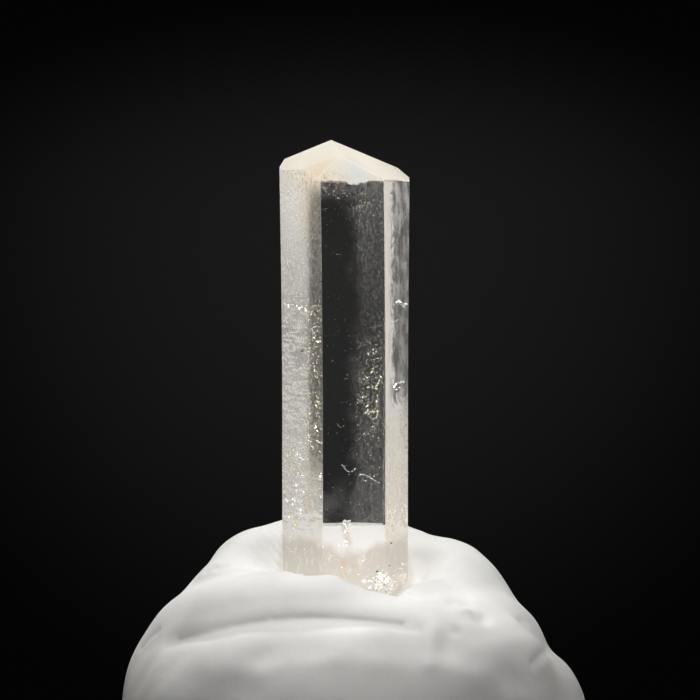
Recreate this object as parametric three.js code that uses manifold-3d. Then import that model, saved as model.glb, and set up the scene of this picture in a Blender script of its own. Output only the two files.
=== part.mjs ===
// A clear phenakite crystal, a single hexagonal prism with a rhombohedral tip, standing in the
// pinched lump of white mounting putty that holds it.
// Millimetres, +Z up. The origin is on the putty's flat base, under the crystal's long axis.
// The front is -Y. An azimuth is an angle in degrees from the front, turning towards +X.
import * as THREE from "three";
import { mergeVertices } from "three/addons/utils/BufferGeometryUtils.js";
import Module from "manifold-3d";

// ---- crystal: driving dimensions ----
const TIP = new THREE.Vector3(-0.8, -0.46, 36.5); // the apex, a little off the long axis
const TURN = 5.8; // azimuth of the front prism face
const FOOT_Z = 8.9; // lowest point of the broken foot, buried in the putty
const FLARE_FROM_Z = 21.6; // above this the prism widens slowly
const FLARE_TO_Z = 35.2;
const FLARE_POWER = 1.6;
const WORN_FOOT_Z = 14.0; // below this the left corner draws in

// Distance of each vertical face from the long axis, low down and at the widest level, in order
// of azimuth. The two narrow faces truncate the right and left corners of the hexagon.
const PRISM_FACES = [
  { azimuth: TURN, low: 3.129, high: 3.246 },
  { azimuth: TURN + 60, low: 3.274, high: 3.223 },
  { azimuth: 90, low: 3.594, high: 3.691 },
  { azimuth: TURN + 120, low: 3.5, high: 3.86 },
  { azimuth: TURN + 180, low: 3.129, high: 3.229 },
  { azimuth: TURN + 240, low: 3.330, high: 3.549 },
  { azimuth: 270, low: 3.594, high: 3.749 },
  { azimuth: TURN + 300, low: 2.937, high: 3.131 },
];
const LEFT_CORNER_FACE = 6;
const LEFT_CORNER_WEAR = 0.14;

// The three rhombohedron faces that meet at the tip: azimuth and rise over run.
const TIP_FACES = [
  { azimuth: -56, slope: 0.758 },
  { azimuth: 71.0, slope: 0.612 },
  { azimuth: 185.5, slope: 0.663 },
];
// The small facet where the left and front prism faces reach the tip's faces.
const CORNER_FACET = { azimuth: -45, slope: 1.52, edge_z: 34.39 };

// Conchoidal hollows broken out of the foot: centre, radius and vertical stretch.
const FOOT_HOLLOWS = [
  { at: [-2.6, -1.4, 5.9], radius: 4.3, stretch: 0.82 },
  { at: [2.4, 2.6, 5.6], radius: 4.0, stretch: 1.0 },
  { at: [3.6, -3.2, 8.0], radius: 2.5, stretch: 0.95 },
  { at: [-3.4, 3.0, 7.6], radius: 2.6, stretch: 0.9 },
];
// Nicks broken out of the edges and faces: centre, size and turn about Z in degrees.
const NICKS = [
  { at: [-1.27, -3.38, 17.1], size: [0.30, 0.34, 0.78], turn: 12 },
  { at: [-1.36, -3.44, 24.4], size: [0.16, 0.18, 0.30], turn: 40 },
  { at: [-1.40, -3.48, 28.3], size: [0.15, 0.17, 0.42], turn: 20 },
  { at: [-1.42, -3.50, 31.6], size: [0.16, 0.18, 0.34], turn: 65 },
  { at: [0.05, -3.24, 14.55], size: [0.30, 0.20, 0.34], turn: 30 },
  { at: [2.28, -2.98, 19.2], size: [0.14, 0.16, 0.36], turn: 15 },
  { at: [3.60, 0.30, 22.3], size: [0.16, 0.30, 0.28], turn: 0 },
  { at: [-3.62, -0.10, 27.3], size: [0.15, 0.32, 0.22], turn: 25 },
  { at: [-3.50, -0.60, 18.3], size: [0.22, 0.30, 0.40], turn: 50 },
  { at: [-2.55, -2.05, 33.9], size: [0.20, 0.16, 0.20], turn: 35 },
  { at: [3.74, 0.30, 34.3], size: [0.22, 0.30, 0.26], turn: 18 },
];

// ---- putty: driving dimensions ----
const SEAT_GAP = 0.3; // between the buried foot and the pocket pressed around it
const POCKET_TOP_Z = 20;
const PUTTY_CENTRE = new THREE.Vector3(0.2, 0.3, 4.6);
const PUTTY_REACH = 22; // further out than the lump goes anywhere
const PUTTY_SEGMENTS = { around: 84, down: 46 };

// The broad masses of the lump: centre, half widths, how boxy each one is, and how softly it
// runs into the rest.
const MASSES = [
  { at: [-0.6, 0.3, 2.6], half: [12.2, 10.6, 7.4], boxy: 2.5, blend: 0.6 },
  { at: [-5.2, -0.8, 4.7], half: [7.3, 6.6, 7.15], boxy: 2.1, blend: 0.8 },
  { at: [-0.4, -4.6, 4.0], half: [11.2, 7.3, 6.4], boxy: 2.2, blend: 0.8 },
  { at: [6.3, -3.2, 4.4], half: [5.7, 6.2, 5.6], boxy: 2.3, blend: 1.6 },
  { at: [7.9, 0.0, 6.7], half: [3.65, 5.2, 3.5], boxy: 2.0, blend: 0.5 },
  { at: [9.1, -0.4, 3.5], half: [4.8, 6.0, 4.5], boxy: 2.0, blend: 0.5 },
];
// Rolled folds: points along each one with the radius there.
const ROLLS = [
  {
    name: "the high roll behind the crystal",
    blend: 0.5,
    points: [
      [-4.5, 2.7, 10.4, 3.95],
      [-2.4, 4.3, 10.6, 3.95],
      [1.8, 4.6, 10.3, 3.65],
      [4.9, 2.8, 9.8, 3.85],
      [6.3, 1.6, 8.8, 3.65],
    ],
  },
  {
    name: "the shoulder that falls forward on the right",
    blend: 1.8,
    points: [
      [5.6, 1.4, 9.2, 3.55],
      [5.8, -2.6, 7.8, 3.2],
    ],
  },
  {
    name: "the lower fold wrapped across the front",
    blend: 0.5,
    points: [
      [-9.2, -1.8, 8.3, 2.0],
      [-7.0, -4.2, 9.4, 2.2],
      [-3.6, -5.5, 10.0, 2.15],
      [-1.2, -5.8, 9.85, 2.0],
      [0.8, -5.8, 9.1, 1.85],
      [4.0, -5.2, 8.6, 1.9],
      [6.0, -4.5, 8.2, 1.9],
    ],
  },
  {
    name: "the rim pressed up against the crystal's left side",
    blend: 0.9,
    points: [
      [-5.9, -0.2, 10.0, 2.1],
      [-4.2, -2.2, 10.1, 2.0],
      [-2.3, -3.8, 9.8, 2.0],
    ],
  },
];
// Creases pressed between the folds: points, depth and half width.
const CREASES = [
  {
    depth: 0.4,
    width: 0.5,
    points: [
      [-9.6, -5.2, 8.4],
      [-7.0, -6.9, 9.1],
      [-4.4, -7.8, 9.7],
      [-1.6, -8.1, 9.9],
      [1.3, -8.0, 9.75],
      [3.9, -7.6, 9.4],
    ],
  },
  {
    depth: 0.35,
    width: 0.4,
    points: [
      [-8.6, -0.6, 11.4],
      [-6.6, -1.6, 12.2],
      [-3.9, -2.2, 12.3],
    ],
  },
  {
    depth: 0.4,
    width: 0.45,
    points: [
      [3.4, -1.2, 12.2],
      [4.4, -1.0, 12.4],
      [5.4, -1.4, 12.2],
    ],
  },
];
// Shallow finger dents: centre, radius and depth.
const DENTS = [
  { at: [4.4, -4.2, 11.1], radius: 1.0, depth: 0.45 },
  { at: [6.0, -5.0, 10.4], radius: 0.9, depth: 0.35 },
  { at: [5.6, -8.2, 8.2], radius: 1.3, depth: 0.4 },
  { at: [-6.0, -10.0, 4.6], radius: 2.6, depth: 0.4 },
  { at: [9.0, -6.4, 6.0], radius: 2.0, depth: 0.4 },
];

const degrees = THREE.MathUtils.degToRad;
const wasm = await Module();
wasm.setup();

// ---- solids in and out of manifold-3d ----
function solidOf(geometry) {
  geometry.deleteAttribute("normal");
  geometry.deleteAttribute("uv");
  const merged = mergeVertices(geometry, 1e-5);
  return new wasm.Manifold(
    new wasm.Mesh({
      numProp: 3,
      vertProperties: new Float32Array(merged.attributes.position.array),
      triVerts: new Uint32Array(merged.index.array),
    }),
  );
}

function geometryOf(solid) {
  const mesh = solid.getMesh();
  const geometry = new THREE.BufferGeometry();
  geometry.setAttribute("position", new THREE.BufferAttribute(mesh.vertProperties, 3));
  geometry.setIndex(new THREE.BufferAttribute(mesh.triVerts, 1));
  geometry.computeVertexNormals();
  return geometry;
}

// The horizontal unit vector at an azimuth.
function facing(azimuth) {
  return new THREE.Vector3(Math.sin(degrees(azimuth)), -Math.cos(degrees(azimuth)), 0);
}

// ---- crystal ----
// The prism's corners at one level, each where two neighbouring faces cross.
function prismSection(z, grow) {
  const share = THREE.MathUtils.clamp((z - FLARE_FROM_Z) / (FLARE_TO_Z - FLARE_FROM_Z), 0, 1);
  const flare = share ** FLARE_POWER;
  const wear = THREE.MathUtils.clamp((WORN_FOOT_Z - z) / (WORN_FOOT_Z - FOOT_Z), 0, 1);
  const faces = PRISM_FACES.map((face, i) => {
    const worn = i === LEFT_CORNER_FACE ? wear * LEFT_CORNER_WEAR : 0;
    const distance = THREE.MathUtils.lerp(face.low, face.high, flare) - worn + grow;
    return { normal: facing(face.azimuth), distance };
  });
  return faces.map((face, i) => {
    const next = faces[(i + 1) % faces.length];
    const a = face.normal;
    const b = next.normal;
    const cross = a.x * b.y - a.y * b.x;
    const x = (face.distance * b.y - next.distance * a.y) / cross;
    const y = (next.distance * a.x - face.distance * b.x) / cross;
    return new THREE.Vector3(x, y, z);
  });
}

// A closed prism between two levels, with every face set out by grow.
function prismSolid(lowZ, highZ, levels, grow) {
  const sides = PRISM_FACES.length;
  const geometry = new THREE.CylinderGeometry(1, 1, 1, sides, levels);
  const position = geometry.attributes.position;
  const point = new THREE.Vector3();
  for (let i = 0; i < position.count; i++) {
    point.fromBufferAttribute(position, i);
    const z = THREE.MathUtils.lerp(lowZ, highZ, point.y + 0.5);
    if (Math.hypot(point.x, point.z) < 0.5) {
      position.setXYZ(i, 0, 0, z);
      continue;
    }
    const around = Math.round((Math.atan2(point.x, point.z) / (2 * Math.PI)) * sides);
    const corner = prismSection(z, grow)[(around + sides) % sides];
    position.setXYZ(i, corner.x, corner.y, z);
  }
  return solidOf(geometry);
}

// A block that covers everything above a plane through a point, rising inwards at the slope.
function blockAbove(point, azimuth, slope) {
  const size = 60;
  const geometry = new THREE.BoxGeometry(size, size, size);
  geometry.translate(0, 0, size / 2);
  const outward = facing(azimuth);
  const normal = new THREE.Vector3(outward.x * slope, outward.y * slope, 1).normalize();
  const turn = new THREE.Quaternion().setFromUnitVectors(new THREE.Vector3(0, 0, 1), normal);
  geometry.applyQuaternion(turn);
  geometry.translate(point.x, point.y, point.z);
  return solidOf(geometry);
}

function hollow({ at, radius, stretch }) {
  const geometry = new THREE.IcosahedronGeometry(radius, 3);
  geometry.scale(1, 1, stretch);
  geometry.translate(...at);
  return solidOf(geometry);
}

function nick({ at, size, turn }) {
  const geometry = new THREE.IcosahedronGeometry(1, 0);
  geometry.scale(...size);
  geometry.rotateZ(degrees(turn));
  geometry.translate(...at);
  return solidOf(geometry);
}

function crystalSolid() {
  let solid = prismSolid(FOOT_Z, TIP.z + 1, 24, 0);
  for (const face of TIP_FACES) {
    solid = solid.subtract(blockAbove(TIP, face.azimuth, face.slope));
  }
  const frontLeftEdge = prismSection(CORNER_FACET.edge_z, 0)[PRISM_FACES.length - 1];
  solid = solid.subtract(blockAbove(frontLeftEdge, CORNER_FACET.azimuth, CORNER_FACET.slope));
  for (const broken of FOOT_HOLLOWS) {
    solid = solid.subtract(hollow(broken));
  }
  for (const chip of NICKS) {
    solid = solid.subtract(nick(chip));
  }
  return solid;
}

// ---- putty ----
// A smooth union: close surfaces run into each other over the blend length.
function blendUnion(a, b, blend) {
  const share = Math.max(blend - Math.abs(a - b), 0) / blend;
  return Math.min(a, b) - (share * share * blend) / 4;
}

function massDistance(p, { at, half, boxy }) {
  const x = Math.abs((p.x - at[0]) / half[0]);
  const y = Math.abs((p.y - at[1]) / half[1]);
  const z = Math.abs((p.z - at[2]) / half[2]);
  const reach = (x ** boxy + y ** boxy + z ** boxy) ** (1 / boxy);
  return (reach - 1) * Math.min(...half);
}

// Distance from a point to a chain of points, and how far along each span the nearest point is.
function nearestOnChain(p, chain) {
  let best = { distance: Infinity, span: 0, share: 0 };
  for (let i = 0; i + 1 < chain.length; i++) {
    const start = new THREE.Vector3(...chain[i]);
    const along = new THREE.Vector3(...chain[i + 1]).sub(start);
    const offset = p.clone().sub(start);
    const share = THREE.MathUtils.clamp(offset.dot(along) / along.lengthSq(), 0, 1);
    const distance = offset.addScaledVector(along, -share).length();
    if (distance < best.distance) {
      best = { distance, span: i, share };
    }
  }
  return best;
}

function rollDistance(p, chain) {
  const near = nearestOnChain(p, chain);
  const radius = THREE.MathUtils.lerp(chain[near.span][3], chain[near.span + 1][3], near.share);
  return near.distance - radius;
}

// Slow waves of about half a centimetre, the unevenness of kneaded putty.
function kneadedWave(p) {
  const broad = Math.sin(p.x * 0.9 + 1.3) * Math.sin(p.y * 0.8 - 0.4) * Math.sin(p.z * 0.85 + 0.7);
  const fine = Math.sin(p.x * 2.1 - p.z * 1.3) * Math.sin(p.y * 1.9 + p.z * 1.1 + 2.0);
  return 0.12 * broad + 0.03 * fine;
}

// Below zero inside the putty.
function puttyField(p) {
  let field = PUTTY_REACH;
  for (const mass of MASSES) {
    field = blendUnion(field, massDistance(p, mass), mass.blend);
  }
  for (const roll of ROLLS) {
    field = blendUnion(field, rollDistance(p, roll.points), roll.blend);
  }
  for (const crease of CREASES) {
    const away = nearestOnChain(p, crease.points).distance / crease.width;
    field += crease.depth * Math.exp(-away * away);
  }
  for (const dent of DENTS) {
    const away = p.distanceTo(new THREE.Vector3(...dent.at)) / dent.radius;
    field += dent.depth * Math.exp(-away * away);
  }
  return field + kneadedWave(p);
}

// The outermost crossing of the surface on a ray from the centre.
function puttyRadius(direction) {
  const step = 0.1;
  const point = new THREE.Vector3();
  const fieldAt = (reach) =>
    puttyField(point.copy(PUTTY_CENTRE).addScaledVector(direction, reach));
  let outer = PUTTY_REACH;
  while (outer > step && fieldAt(outer - step) > 0) {
    outer -= step;
  }
  let inner = outer - step;
  for (let i = 0; i < 12; i++) {
    const middle = (inner + outer) / 2;
    if (fieldAt(middle) > 0) {
      outer = middle;
    } else {
      inner = middle;
    }
  }
  return inner;
}

function puttySolid() {
  const { around, down } = PUTTY_SEGMENTS;
  let geometry = new THREE.SphereGeometry(1, around, down);
  geometry.rotateX(Math.PI / 2);
  geometry.deleteAttribute("normal");
  geometry.deleteAttribute("uv");
  geometry = mergeVertices(geometry, 1e-5);
  const position = geometry.attributes.position;
  const direction = new THREE.Vector3();
  for (let i = 0; i < position.count; i++) {
    direction.fromBufferAttribute(position, i).normalize();
    const radius = puttyRadius(direction);
    direction.multiplyScalar(radius).add(PUTTY_CENTRE);
    position.setXYZ(i, direction.x, direction.y, direction.z);
  }
  const lump = solidOf(geometry);
  const table = new THREE.BoxGeometry(80, 80, 40);
  table.translate(0, 0, -20);
  const pocket = prismSolid(FOOT_Z - SEAT_GAP, POCKET_TOP_Z, 12, SEAT_GAP);
  return lump.subtract(solidOf(table)).subtract(pocket);
}

// ---- the object ----
const crystal = new THREE.Mesh(
  geometryOf(crystalSolid()),
  new THREE.MeshStandardMaterial({
    color: 0xefe9df,
    roughness: 0.06,
    metalness: 0,
    transparent: true,
    opacity: 0.45,
    flatShading: true,
  }),
);
crystal.name = "phenakite_crystal";

const putty = new THREE.Mesh(
  geometryOf(puttySolid()),
  new THREE.MeshStandardMaterial({ color: 0xe4e2dd, roughness: 0.75, metalness: 0 }),
);
putty.name = "mounting_putty";

const specimen = new THREE.Group();
specimen.name = "phenakite_specimen";
specimen.add(putty, crystal);

export default specimen;
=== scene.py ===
import functools
import math
import random

import bmesh
import bpy
import numpy as np
from mathutils import Matrix, Vector


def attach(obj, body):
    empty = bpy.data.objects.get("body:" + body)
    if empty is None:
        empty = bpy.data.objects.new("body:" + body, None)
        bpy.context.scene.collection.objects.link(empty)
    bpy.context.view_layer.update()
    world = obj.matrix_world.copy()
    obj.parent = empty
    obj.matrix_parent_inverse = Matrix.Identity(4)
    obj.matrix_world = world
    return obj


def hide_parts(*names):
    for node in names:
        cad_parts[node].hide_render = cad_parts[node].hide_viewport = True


MM = 0.001

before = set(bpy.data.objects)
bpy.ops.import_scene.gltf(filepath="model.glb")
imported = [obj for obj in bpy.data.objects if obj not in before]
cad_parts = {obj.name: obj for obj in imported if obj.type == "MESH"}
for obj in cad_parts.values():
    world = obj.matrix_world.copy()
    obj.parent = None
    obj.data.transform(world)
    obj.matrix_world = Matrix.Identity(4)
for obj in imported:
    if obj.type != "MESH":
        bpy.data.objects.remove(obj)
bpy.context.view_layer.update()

# ---- the photograph's view
PIVOT = Vector((0.28, 0.0, 24.5))
CAMERA_DISTANCE = 240.0
CAMERA_ELEVATION = 3.0
FRAME_WIDTH = 40.0
FRAME_PIXELS = 700
SENSOR_WIDTH = 36.0

# ---- crystal, in millimetres
TIP = Vector((-0.8, -0.46, 36.5))
TURN = 5.8
FOOT_Z = 8.9
FLARE_FROM_Z = 21.6
FLARE_TO_Z = 35.2
FLARE_POWER = 1.6
WORN_FOOT_Z = 14.0
# azimuth, distance from the axis low down, and at the widest level
PRISM_FACES = [
    (TURN, 3.129, 3.246),
    (TURN + 60, 3.274, 3.223),
    (90.0, 3.594, 3.691),
    (TURN + 120, 3.5, 3.86),
    (TURN + 180, 3.129, 3.229),
    (TURN + 240, 3.330, 3.549),
    (270.0, 3.594, 3.749),
    (TURN + 300, 2.937, 3.131),
]
FRONT, RIGHT_FRONT, RIGHT_CORNER, RIGHT_BACK, BACK, LEFT_BACK, LEFT_CORNER, LEFT_FRONT = range(8)
LEFT_CORNER_WEAR = 0.14
TIP_FACES = [(-56.0, 0.758), (71.0, 0.597), (185.5, 0.663)]
CORNER_FACET_AZIMUTH = -45.0
CORNER_FACET_SLOPE = 1.52
CORNER_FACET_Z = 34.39
EDGE_WEAR = 0.035
TIP_WEAR = 0.2
ETCHED_X = (-0.4, 1.2)
IOR = 1.66

# ---- putty, in millimetres
PUTTY_CENTRE = np.array([0.2, 0.3, 4.6])
PUTTY_REACH = 22.0
# faces around and from top to base, and where the grid's last row ends below the centre
GRID = (460, 200)
GRID_TOP, GRID_END = 0.004, math.radians(132)
GRID_CROWDING = 0.35
BODY_TURNS, BODY_STEP, BODY_NEAR = 120, 0.62, 0.001
DETAIL_TURNS, DETAIL_STEP = 6, 0.9
SIGHT_TURNS, SIGHT_STEP = 60, 0.7
# how deep the crumbled rim round the crystal, the broad swells and the fine ripples are
RIM_RADIUS, RIM_WIDTH = 3.6, 1.2
CRUMBLE_DEPTH, SWELL_DEPTH, RIPPLE_DEPTH = 0.11, 0.12, 0.02
POCKET_FLOOR_Z = 8.96
POCKET_TOP_Z = 20.0
CONTACT = 0.04
# centre, half widths, how boxy, blend
MASSES = [
    ((-0.6, 0.3, 2.6), (12.2, 10.6, 7.4), 2.5, 0.6),
    ((-5.2, -0.8, 4.7), (7.3, 6.6, 7.15), 2.0, 0.8),
    ((-0.4, -4.6, 4.0), (11.2, 7.3, 6.4), 2.2, 0.8),
    ((6.3, -3.2, 4.4), (5.7, 6.2, 5.6), 2.3, 1.6),
    ((7.95, 0.0, 6.8), (3.7, 5.2, 3.6), 2.0, 0.5),
    ((9.1, -0.4, 3.5), (4.8, 6.0, 4.5), 2.0, 0.5),
]
ROLLS = [
    (0.5, [(-4.4, 2.7, 10.4, 3.72), (-2.4, 4.3, 10.6, 3.95), (1.8, 4.6, 10.3, 4.15),
           (4.9, 2.8, 9.8, 3.63), (6.2, 1.6, 8.8, 3.45)]),
    (1.8, [(5.6, 1.4, 9.2, 3.55), (5.8, -2.6, 7.8, 3.2)]),
    (1.1, [(-9.0, -1.8, 8.2, 1.75), (-7.0, -4.2, 9.4, 2.15), (-3.6, -5.5, 10.2, 2.15),
           (-1.2, -5.8, 10.15, 2.0), (0.8, -5.8, 9.45, 1.85), (4.0, -5.2, 8.85, 1.9),
           (6.0, -4.5, 8.2, 1.9)]),
    (0.9, [(-6.5, 0.6, 10.2, 2.35), (-4.2, -2.2, 10.1, 2.0), (-2.3, -3.8, 9.8, 2.0)]),
]
CREASES = [
    (0.3, 0.55, [(-9.6, -5.2, 8.4), (-7.0, -6.9, 9.1), (-4.4, -7.8, 9.7), (-1.6, -8.1, 9.9),
                (1.3, -8.0, 9.75), (3.9, -7.6, 9.4)]),
    (0.35, 0.4, [(-8.6, -0.6, 11.4), (-6.6, -1.6, 12.2), (-3.9, -2.2, 12.3)]),
    (0.4, 0.45, [(3.4, -1.2, 12.2), (4.4, -1.0, 12.4), (5.4, -1.4, 12.2)]),
]
DENTS = [
    ((4.4, -4.2, 11.1), 1.0, 0.45),
    ((6.0, -5.0, 10.4), 0.9, 0.35),
    ((5.6, -8.2, 8.2), 1.3, 0.4),
    ((-6.0, -10.0, 4.6), 2.6, 0.4),
    ((9.0, -6.4, 6.0), 2.0, 0.4),
    ((-1.2, 3.3, 13.8), 1.3, 1.3),
    ((0.4, 3.3, 13.7), 1.2, 0.9),
    ((1.9, 3.3, 13.7), 1.3, 1.3),
    ((-3.9, -0.2, 12.9), 1.4, 1.3),
    ((4.0, -0.2, 12.2), 1.4, 1.4),
]


# ---- the view, for placing details
def camera_axes():
    e = math.radians(CAMERA_ELEVATION)
    back = Vector((0.0, -math.cos(e), math.sin(e)))
    right = Vector((1.0, 0.0, 0.0))
    return back, right, back.cross(right)


def pixel_ray(px, py):
    """Where the sight line of a pixel starts, and its direction."""
    back, right, up = camera_axes()
    half = FRAME_PIXELS / 2
    per_pixel = FRAME_WIDTH / FRAME_PIXELS / CAMERA_DISTANCE
    aim = -back + right * (px - half) * per_pixel + up * (half - py) * per_pixel
    return PIVOT + back * CAMERA_DISTANCE, aim.normalized()


def facing(azimuth):
    a = math.radians(azimuth)
    return Vector((math.sin(a), -math.cos(a), 0.0))


def flare_at(z):
    share = min(max((z - FLARE_FROM_Z) / (FLARE_TO_Z - FLARE_FROM_Z), 0.0), 1.0)
    return share**FLARE_POWER


def face_plane(index, z):
    azimuth, low, high = PRISM_FACES[index]
    distance = low + (high - low) * flare_at(z)
    if index == LEFT_CORNER:
        wear = min(max((WORN_FOOT_Z - z) / (WORN_FOOT_Z - FOOT_Z), 0.0), 1.0)
        distance -= wear * LEFT_CORNER_WEAR
    return facing(azimuth), distance


def meet(start, aim, index, z, inset):
    normal, distance = face_plane(index, z)
    return start + aim * ((distance - inset - start.dot(normal)) / aim.dot(normal))


def on_face(px, py, index, inset=0.0):
    """The point that a pixel shows on a front face, set in below the surface."""
    start, aim = pixel_ray(px, py)
    point = meet(start, aim, index, 22.0, inset)
    return meet(start, aim, index, point.z, inset)


def through(px, py, front, back, inset=0.0):
    """The point that a pixel shows on a back face through a front face."""
    point = on_face(px, py, front)
    _, aim = pixel_ray(px, py)
    normal, _ = face_plane(front, point.z)
    cosine = -aim.dot(normal)
    bent = math.sqrt(1 - (1 - cosine * cosine) / IOR**2)
    inner = aim / IOR + normal * (cosine / IOR - bent)
    return meet(point, inner, back, point.z, inset)


# ---- crystal shape
def prism_section(z, grow=0.0):
    planes = [face_plane(i, z) for i in range(len(PRISM_FACES))]
    corners = []
    for i, (a, da) in enumerate(planes):
        b, db = planes[(i + 1) % len(planes)]
        da, db = da + grow, db + grow
        cross = a.x * b.y - a.y * b.x
        corners.append(Vector(((da * b.y - db * a.y) / cross, (db * a.x - da * b.x) / cross, z)))
    return corners


def mesh_object(name, mesh):
    made = bpy.data.objects.new(name, mesh)
    bpy.context.scene.collection.objects.link(made)
    return made


def finished(name, bm):
    """Turns a bmesh in millimetres into an object in metres."""
    mesh = bpy.data.meshes.new(name)
    bm.to_mesh(mesh)
    bm.free()
    mesh.transform(Matrix.Scale(MM, 4))
    return mesh_object(name, mesh)


def prism_bmesh(low_z, high_z, steps, grow=0.0):
    bm = bmesh.new()
    levels = [low_z + (high_z - low_z) * i / steps for i in range(steps + 1)]
    rings = [[bm.verts.new(c) for c in prism_section(z, grow)] for z in levels]
    sides = len(PRISM_FACES)
    for low, high in zip(rings, rings[1:]):
        for i in range(sides):
            j = (i + 1) % sides
            bm.faces.new((low[i], low[j], high[j], high[i]))
    bm.faces.new(list(reversed(rings[0])))
    bm.faces.new(rings[-1])
    return bm


def cut_away(bm, point, normal):
    parts = bm.verts[:] + bm.edges[:] + bm.faces[:]
    made = bmesh.ops.bisect_plane(
        bm, geom=parts, dist=1e-5, plane_co=point, plane_no=normal, clear_outer=True
    )
    rim = [e for e in made["geom_cut"] if isinstance(e, bmesh.types.BMEdge)]
    bmesh.ops.holes_fill(bm, edges=rim, sides=0)


CLEAR, WORN, FROSTED, ETCHED, CAP, FOOT, EDGE, WINDOW = range(8)
# how far a face's normal points up at the tip, and along a prism face's own direction
TIP_RISE = 0.3
SAME_FACE, NEXT_TO_FACE, FLAT_FACE = 0.9, 0.55, 0.995
SHARP_ANGLE = 0.3
FACE_FINISHES = {FRONT: WINDOW, LEFT_FRONT: WORN, RIGHT_FRONT: FROSTED, BACK: ETCHED}


def crystal_material_of(face):
    if face.normal.z > TIP_RISE:
        return CAP
    if face.calc_center_median().z < FOOT_Z + 0.2:
        return FOOT
    if is_front_edge(face):
        return EDGE
    for index, finish in FACE_FINISHES.items():
        if face.normal.dot(facing(PRISM_FACES[index][0])) > SAME_FACE:
            return finish
    return CLEAR


def is_front_edge(face):
    """The narrow worn faces on each side of the front one."""
    steps = [facing(PRISM_FACES[i][0]) for i in (FRONT, LEFT_FRONT, RIGHT_FRONT)]
    leans = [face.normal.dot(step) for step in steps]
    return min(leans[0], max(leans[1:])) > NEXT_TO_FACE and max(leans) < FLAT_FACE


def is_sharp(edge):
    return len(edge.link_faces) == 2 and edge.calc_face_angle() > SHARP_ANGLE


def is_tip_edge(edge):
    return is_sharp(edge) and any(face.normal.z > TIP_RISE for face in edge.link_faces)


def build_crystal():
    bm = prism_bmesh(FOOT_Z, TIP.z + 1, 40)
    for azimuth, slope in TIP_FACES:
        cut_away(bm, TIP, facing(azimuth) * slope + Vector((0, 0, 1)))
    corner = prism_section(CORNER_FACET_Z)[LEFT_FRONT]
    cut_away(bm, corner, facing(CORNER_FACET_AZIMUTH) * CORNER_FACET_SLOPE + Vector((0, 0, 1)))
    bmesh.ops.recalc_face_normals(bm, faces=bm.faces[:])
    for wear, segments, chosen in ((TIP_WEAR, 3, is_tip_edge), (EDGE_WEAR, 2, is_sharp)):
        edges = [e for e in bm.edges if chosen(e)]
        bmesh.ops.bevel(bm, geom=edges, offset=wear, segments=segments, profile=0.6,
                        affect="EDGES", clamp_overlap=True)
        bm.normal_update()
    for face in bm.faces:
        face.material_index = crystal_material_of(face)
    return finished("phenakite_prism", bm)


# ---- putty shape
# grooves (or ridges, where the depth is negative) along photo pixels: depth, width, pixels
MARKS = [
    (0.22, 0.19, [(206, 570), (212, 566), (218, 567.5), (226, 564)]),
    (0.09, 0.3, [(409, 558), (416, 556), (424, 559), (432, 561)]),
    (0.12, 0.16, [(448, 588), (457, 590), (466, 586)]),
    (-0.2, 0.5, [(432, 594), (433, 630), (431, 664)]),
    (0.26, 0.2, [(158, 630), (151, 635), (145, 641), (141, 647)]),
    (0.05, 0.8, [(240, 658), (300, 650), (360, 648), (420, 652), (470, 660)]),
    (-0.05, 0.7, [(230, 672), (300, 664), (360, 662), (430, 667), (480, 676)]),
    (0.08, 0.26, [(180, 638), (200, 633), (216, 628), (232, 624), (250, 621), (268, 618.5)]),
    (0.08, 0.24, [(270, 618), (292, 616.5), (314, 616), (342, 617), (372, 619), (402, 622.5)]),
    (0.08, 0.3, [(436, 583), (446, 579), (452, 572)]),
    (-0.08, 0.3, [(440, 596), (452, 592), (466, 594), (476, 601)]),
    (0.08, 0.25, [(442, 606), (454, 603), (466, 607), (474, 613)]),
    (0.12, 0.3, [(525, 619), (520, 622)]),
    (0.1, 0.3, [(549, 651), (540, 655), (533, 664)]),
]
# the marks darkened brown, partly soiled and partly painted shade, by their place in the list,
# and how wide the darkening is beside the mark
SOILED_SHADED_MARKS = [0, 4, 7, 8]
SOILED_SHADED_WIDTH = 0.6
# pixel, radius and depth of small hollows (or bumps)
PITS = [
    (456, 630, 0.4, 0.3), (482, 618, 0.45, 0.32), (184, 586, 0.35, 0.3), (261, 657, 0.9, 0.22),
    (245, 690, 1.0, 0.28), (421, 580, 0.35, 0.3), (447, 600, 0.5, -0.26), (465, 612, 0.5, -0.24),
    (330, 672, 1.2, 0.12), (392, 684, 1.3, 0.14), (205, 664, 1.0, -0.15), (508, 676, 0.9, 0.16),
]


def blend_union(a, b, blend):
    share = np.maximum(blend - np.abs(a - b), 0) / blend
    return np.minimum(a, b) - share * share * blend / 4


def mass_distance(p, at, half, boxy):
    q = np.abs((p - np.array(at)) / np.array(half))
    return ((q**boxy).sum(1) ** (1 / boxy) - 1) * min(half)


def chain_distance(p, chain, radii=None):
    best = np.full(len(p), 1e9)
    for i in range(len(chain) - 1):
        start = np.array(chain[i][:3])
        along = np.array(chain[i + 1][:3]) - start
        share = np.clip(((p - start) @ along) / (along @ along), 0, 1)
        distance = np.linalg.norm(p - start - share[:, None] * along, axis=1)
        if radii is not None:
            distance = distance - (radii[i] + (radii[i + 1] - radii[i]) * share)
        best = np.minimum(best, distance)
    return best


def putty_body(p):
    field = np.full(len(p), PUTTY_REACH)
    for at, half, boxy, blend in MASSES:
        field = blend_union(field, mass_distance(p, at, half, boxy), blend)
    for blend, chain in ROLLS:
        field = blend_union(field, chain_distance(p, chain, [c[3] for c in chain]), blend)
    for depth, width, chain in CREASES:
        away = chain_distance(p, chain) / width
        field += depth * np.exp(-away * away)
    for at, radius, depth in DENTS:
        away = np.linalg.norm(p - np.array(at), axis=1) / radius
        field += depth * np.exp(-away * away)
    return field


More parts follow.
